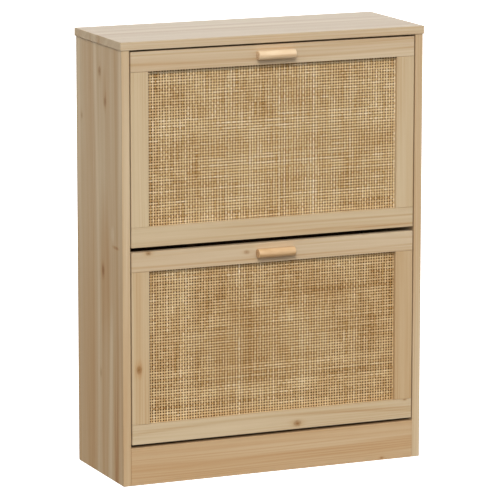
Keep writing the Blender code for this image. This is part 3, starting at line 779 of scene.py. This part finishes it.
def build_rattan(door, materials, random):
    """The woven sheet of one door, as its upright and its level strands."""
    node = f"{door}_door_rattan"
    low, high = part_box(node)
    middle = (low.y + high.y) / 2
    inset = Vector((SHEET_INSET, 0.0, SHEET_INSET))
    first = low + inset
    last = high - inset
    uprights = evenly(first.x, last.x, STRAND_PITCH_X)
    levels = evenly(first.z, last.z, STRAND_PITCH_Z)
    body = f"{door}_drawer"
    look = SHEET_LOOKS[door]
    warp = woven_mesh(f"{door}_warp", middle, uprights, levels, True, look, random)
    weft = woven_mesh(f"{door}_weft", middle, levels, uprights, False, look, random)
    add_piece(f"{door}_rattan_warp", warp, materials["warp"], body, "rattan", node)
    add_piece(f"{door}_rattan_weft", weft, materials["weft"], body, "rattan", node)


def build_handle(door, material):
    """A turned bar along X with rounded ends, planed flat where it meets the rail."""
    low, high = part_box(f"{door}_handle")
    radius = (high.z - low.z) / 2
    centre = Vector((0.0, low.y + radius, (low.z + high.z) / 2))
    bm = bmesh.new()
    bmesh.ops.create_cone(
        bm,
        cap_ends=True,
        segments=HANDLE_SIDES,
        radius1=radius,
        radius2=radius,
        depth=high.x - low.x,
        matrix=Matrix.Translation(centre) @ Matrix.Rotation(math.pi / 2, 4, "Y"),
    )
    rims = [e for e in bm.edges if abs(e.verts[0].co.x - e.verts[1].co.x) < radius * 0.01]
    bmesh.ops.bevel(bm, geom=rims, offset=HANDLE_ROUNDING, segments=5, affect="EDGES", profile=0.5)
    geometry = bm.verts[:] + bm.edges[:] + bm.faces[:]
    cut = bmesh.ops.bisect_plane(
        bm, geom=geometry, plane_co=(0, high.y, 0), plane_no=(0, 1, 0), clear_outer=True
    )
    loop = [e for e in cut["geom_cut"] if isinstance(e, bmesh.types.BMEdge)]
    filled = bmesh.ops.edgeloop_fill(bm, edges=loop)
    edges = [e for face in filled["faces"] for e in face.edges]
    bmesh.ops.bevel(bm, geom=edges, offset=FLAT_EDGE, segments=2, affect="EDGES", profile=0.5)
    bmesh.ops.recalc_face_normals(bm, faces=bm.faces)
    mesh = mesh_from(bm, f"{door}_handle_bar", math.radians(50))
    add_piece(f"{door}_handle_bar", mesh, material, f"{door}_drawer", "turned_wood", f"{door}_handle")


def build_handles():
    """Both handles, each turned from wood of its own colour."""
    woods = {
        "upper": (rgb(206, 166, 122), rgb(230, 201, 162), rgb(242, 219, 186), 3),
        "lower": (rgb(184, 138, 88), rgb(208, 170, 124), rgb(226, 194, 152), 9),
    }
    for door in DOORS:
        low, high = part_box(f"{door}_handle")
        pith = ((low.y + high.y) / 2 + PITH_BEHIND, (low.z + high.z) / 2 - PITH_BELOW)
        build_handle(door, turned_wood_material(f"turned_wood_{door}", pith, *woods[door]))


def lathe(profile, sides):
    """A solid turned about local Z from (radius, height) points that start and end on the axis."""
    bm = bmesh.new()
    verts = [bm.verts.new((radius, 0.0, height)) for radius, height in profile]
    edges = [bm.edges.new(pair) for pair in zip(verts, verts[1:])]
    bmesh.ops.spin(
        bm, geom=verts + edges, axis=(0, 0, 1), cent=(0, 0, 0), angle=2 * math.pi, steps=sides,
        use_merge=True,
    )
    bmesh.ops.remove_doubles(bm, verts=bm.verts, dist=0.000002)
    bmesh.ops.recalc_face_normals(bm, faces=bm.faces)
    return bm


def cross_cutter(size, width, depth):
    """A driver's cross point, as two wedges, with its wide end at height 0 and its tip below."""
    bm = bmesh.new()
    for turn in (0, math.pi / 2):
        made = bmesh.ops.create_cube(bm, size=1.0)["verts"]
        for vert in made:
            narrow = 1.0 if vert.co.z > 0 else 0.45
            vert.co = (vert.co.x * size * narrow, vert.co.y * width, vert.co.z * depth * 2)
        bmesh.ops.rotate(bm, verts=made, matrix=Matrix.Rotation(turn, 3, "Z"))
    mesh = bpy.data.meshes.new("cross_cutter")
    bm.to_mesh(mesh)
    bm.free()
    return mesh


def carved(mesh, cutter_mesh, at):
    """The mesh with the cutter taken out of it at a place. The cutter's two wedges cross."""
    target = bpy.data.objects.new("carved", mesh)
    cutter = bpy.data.objects.new("cutter", cutter_mesh)
    for obj in (target, cutter):
        bpy.context.scene.collection.objects.link(obj)
    cutter.matrix_world = at
    cut = target.modifiers.new("cross", "BOOLEAN")
    cut.operation = "DIFFERENCE"
    cut.object = cutter
    cut.use_self = True
    bpy.context.view_layer.update()
    graph = bpy.context.evaluated_depsgraph_get()
    result = bpy.data.meshes.new_from_object(target.evaluated_get(graph))
    for obj in (target, cutter):
        bpy.data.objects.remove(obj)
    shade_smooth(result)
    return result


def screw_mesh(name, shaft):
    """A pan-head wood screw along Z: its head above height 0, its threads and point below."""
    head = SCREW_HEAD_RADIUS
    high = SCREW_HEAD
    neck = SCREW_RADIUS * 0.8
    root = SCREW_RADIUS * 0.68
    threads_from = shaft * 0.25
    threads_to = shaft * 0.88
    angles = [math.pi / 2 * i / 6 for i in range(7)]
    profile = [(head * math.sin(a), high * (0.45 + 0.55 * math.cos(a))) for a in angles]
    profile += [(head, 0.0), (neck, 0.0), (neck, -threads_from)]
    for turn in range(int((threads_to - threads_from) / THREAD_PITCH)):
        z = -threads_from - turn * THREAD_PITCH
        profile += [
            (root, z - THREAD_PITCH * 0.15),
            (SCREW_RADIUS, z - THREAD_PITCH * 0.55),
            (root, z - THREAD_PITCH * 0.95),
        ]
    profile += [(SCREW_RADIUS * 0.3, -shaft * 0.97), (0.0, -shaft)]
    mesh = mesh_from(lathe(profile, SCREW_SIDES), name)
    on_head = Matrix.Translation((0, 0, high)) @ Matrix.Rotation(CROSS_TURN, 4, "Z")
    return carved(mesh, cross_cutter(head * 1.15, head * 0.24, high * 0.75), on_head)


def build_screws(material):
    """The screws of the handles and of the brackets, all driven from behind towards the front."""
    towards_back = Vector((0, 1, 0)).to_track_quat("Z", "X").to_matrix().to_4x4()
    for door in DOORS:
        names = [f"{door}_handle_screw_{side}" for side in SIDES]
        names += [f"{door}_bracket_screw_{side}_{at}" for side in SIDES for at in ("low", "high")]
        for name in names:
            low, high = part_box(name)
            head_under = high.y - SCREW_HEAD
            mesh = screw_mesh(f"{name}_mesh", head_under - low.y)
            centre = Vector(((low.x + high.x) / 2, head_under, (low.z + high.z) / 2))
            mesh.transform(Matrix.Translation(centre) @ towards_back)
            add_piece(f"{name}_driven", mesh, material, f"{door}_drawer", "zinc", name)


def build_cams(material):
    """The cam discs that show on the side panels' inner faces, with a driver's cross."""
    for side in SIDES:
        name = f"cam_{side}"
        low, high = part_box(name)
        face = high.x if side == "left" else low.x
        inwards = Vector((1 if side == "left" else -1, 0, 0))
        radius = (high.z - low.z) / 2
        source = bmesh.new()
        source.from_mesh(nodes[name].data)
        bmesh.ops.remove_doubles(source, verts=source.verts, dist=SAME_POINT)
        mesh = mesh_from(source, f"{name}_disc")
        centre = Vector((face, (low.y + high.y) / 2, (low.z + high.z) / 2))
        turn = inwards.to_track_quat("Z", "X").to_matrix().to_4x4()
        cutter = cross_cutter(radius * 1.1, radius * 0.22, radius * 0.35)
        mesh = carved(mesh, cutter, Matrix.Translation(centre) @ turn)
        mesh.materials.clear()
        add_piece(f"{name}_disc", mesh, material, "carcass", "zinc", name)


def build_nails(material):
    """Nail heads that hold the back panel, in one row round its edge."""
    low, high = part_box("back_panel")
    profile = [
        (0.0, NAIL_HEAD),
        (NAIL_HEAD_RADIUS * 0.8, NAIL_HEAD * 0.85),
        (NAIL_HEAD_RADIUS, NAIL_HEAD * 0.3),
        (NAIL_HEAD_RADIUS * 0.96, -NAIL_HEAD),
        (0.0, -NAIL_HEAD),
    ]
    left, right = low.x + NAIL_INSET, high.x - NAIL_INSET
    bottom, top = low.z + NAIL_INSET, high.z - NAIL_INSET
    places = [(x, z) for x in np.linspace(left, right, NAILS_ACROSS) for z in (bottom, top)]
    places += [(x, z) for z in np.linspace(bottom, top, NAILS_UP)[1:-1] for x in (left, right)]
    turn = Matrix.Rotation(-math.pi / 2, 4, "X")
    everything = bmesh.new()
    for x, z in places:
        one = lathe(profile, NAIL_SIDES)
        at = Matrix.Translation((x, high.y, z))
        bmesh.ops.transform(one, verts=one.verts, matrix=at @ turn)
        part = bpy.data.meshes.new("nail")
        one.to_mesh(part)
        one.free()
        everything.from_mesh(part)
        bpy.data.meshes.remove(part)
    mesh = mesh_from(everything, "back_nails")
    add_piece("back_nails", mesh, material, "carcass", "zinc")


# --- Stage -------------------------------------------------------------------------------------


def build_floor():
    """A white floor that glows a little. It is not seen in gloss and lends no light to the wood."""
    shader = Shader("studio_floor")
    x, y, z = shader.place()
    cloud = shader.noise(shader.scaled(x, y, z, (0.7, 0.7, 0.7)), 2.0)
    colour = shader.ramp(cloud, ((0.3, (0.96, 0.96, 0.96, 1.0)), (0.7, (0.975, 0.975, 0.975, 1.0))))
    material = shader.finish(colour, 0.9, specular=0.0)
    shader.surface.inputs["Emission Color"].default_value = (1.0, 1.0, 1.0, 1.0)
    shader.surface.inputs["Emission Strength"].default_value = FLOOR_GLOW
    bm = bmesh.new()
    bmesh.ops.create_grid(bm, x_segments=2, y_segments=2, size=FLOOR_HALF)
    mesh = mesh_from(bm, "floor")
    floor = bpy.data.objects.new("floor", mesh)
    bpy.context.scene.collection.objects.link(floor)
    floor.data.materials.append(material)
    floor.location.z = cad_box[0].z - FLOOR_GAP
    floor.visible_diffuse = False
    floor.visible_glossy = False


def build_light():
    """A broad soft light from above on the front left, and a pale studio that is bright at eye
    level and dimmer above and below."""
    key = bpy.data.lights.new("key", "SUN")
    key.energy = KEY_STRENGTH
    key.angle = KEY_SOFTNESS
    lamp = bpy.data.objects.new("key", key)
    bpy.context.scene.collection.objects.link(lamp)
    lamp.rotation_euler = (math.pi / 2 - KEY_ELEVATION, 0.0, -KEY_AZIMUTH)

    world = bpy.data.worlds.new("studio")
    bpy.context.scene.world = world
    world.use_nodes = True
    tree = world.node_tree
    where = tree.nodes.new("ShaderNodeTexCoord")
    split = tree.nodes.new("ShaderNodeSeparateXYZ")
    ramp = tree.nodes.new("ShaderNodeValToRGB")
    height = tree.nodes.new("ShaderNodeMapRange")
    height.inputs["From Min"].default_value = -1.0
    tree.links.new(where.outputs["Generated"], split.inputs[0])
    tree.links.new(split.outputs["Z"], height.inputs["Value"])
    tree.links.new(height.outputs[0], ramp.inputs[0])
    stops = ((0.47, BELOW), (0.49, BACKDROP), (0.60, BACKDROP), (0.66, CEILING))
    elements = ramp.color_ramp.elements
    while len(elements) < len(stops):
        elements.new(0.5)
    for element, (position, level) in zip(elements, stops):
        element.position = position
        element.color = (level, level, level, 1.0)
    tree.links.new(ramp.outputs[0], tree.nodes["Background"].inputs["Color"])


def build_camera():
    """A long lens far from the cabinet, in front of it on the left and above it."""
    data = bpy.data.cameras.new("camera")
    data.lens = CAMERA_LENS
    data.clip_end = 100.0
    camera = bpy.data.objects.new("camera", data)
    bpy.context.scene.collection.objects.link(camera)
    turn = CAMERA_LOOK.to_track_quat("-Z", "Y").to_matrix().to_4x4()
    roll = Matrix.Rotation(CAMERA_ROLL, 4, "Z")
    camera.matrix_world = Matrix.Translation(CAMERA_AT) @ turn @ roll
    bpy.context.scene.camera = camera
    bpy.context.scene.view_settings.view_transform = "Standard"


# --- The cabinet -------------------------------------------------------------------------------

dress_boards()
dress_door_frames()

zinc = zinc_material("zinc_plate")
bracket_plastic = plastic_material("bracket_plastic")
brown_board = hardboard_material("hardboard_back", rgb(98, 70, 46), rgb(150, 115, 80))
# Painted shade: the board behind the rattan is much darker than a board would be, to stand for the
# shade in the weave's holes.
backing_painted_as_shade = hardboard_material("backing_behind_rattan_painted_shade", rgb(56, 32, 12), rgb(80, 50, 22))
dowel_wood = turned_wood_material(
    "dowel_beech", (0.0, 0.8), rgb(178, 140, 100), rgb(205, 170, 130), rgb(224, 194, 156), 31
)
dress_hardware(zinc, bracket_plastic, dowel_wood)
dress("back_panel", brown_board)
for door_name in DOORS:
    dress(f"{door_name}_door_backing", backing_painted_as_shade)

build_screws(zinc)
build_cams(zinc)
build_nails(zinc)

rattan = {
    "warp": rattan_material("rattan_upright", "z"),
    "weft": rattan_material("rattan_level", "x"),
}
weave_random = np.random.default_rng(WEAVE_SEED)
for door_name in DOORS:
    build_rattan(door_name, rattan, weave_random)

build_handles()
build_floor()
build_light()
build_camera()
